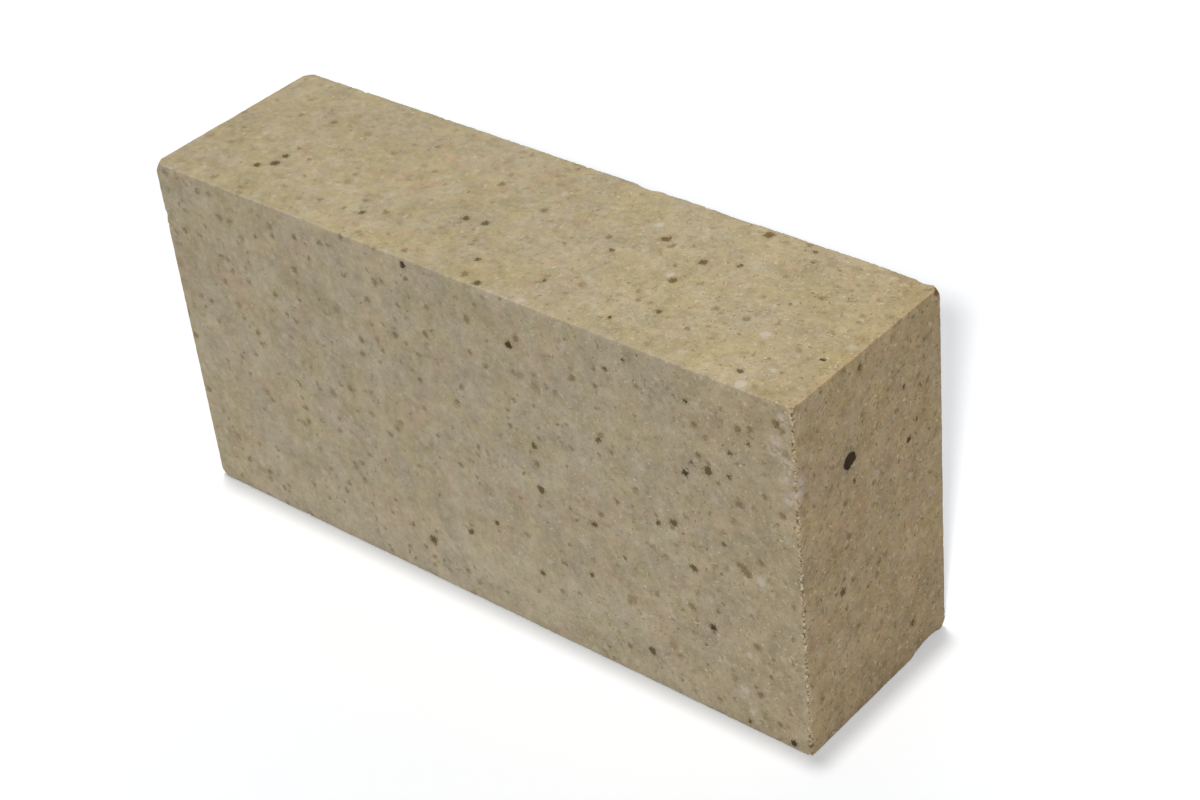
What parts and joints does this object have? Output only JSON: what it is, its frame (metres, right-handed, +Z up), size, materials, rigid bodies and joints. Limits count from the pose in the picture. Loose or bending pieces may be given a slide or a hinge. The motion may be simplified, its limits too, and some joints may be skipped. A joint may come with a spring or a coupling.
{
  "type": "refractory firebrick",
  "caption": "Straight rectangular fireclay brick, standing on its long edge, with worn arrises and chipped corners, for lining kilns, furnaces and fireplaces.",
  "frame": {"origin": "middle of the long narrow face that the brick stands on", "axes": "+X along the length, +Y through the thickness from the front bed face to the back one, +Z up the width"},
  "size_m": [0.23, 0.064, 0.114],
  "materials": {
    "fired_clay": "matte"
  },
  "bodies": {
    "root": {"firebrick": "fired_clay"}
  },
  "joints": []
}
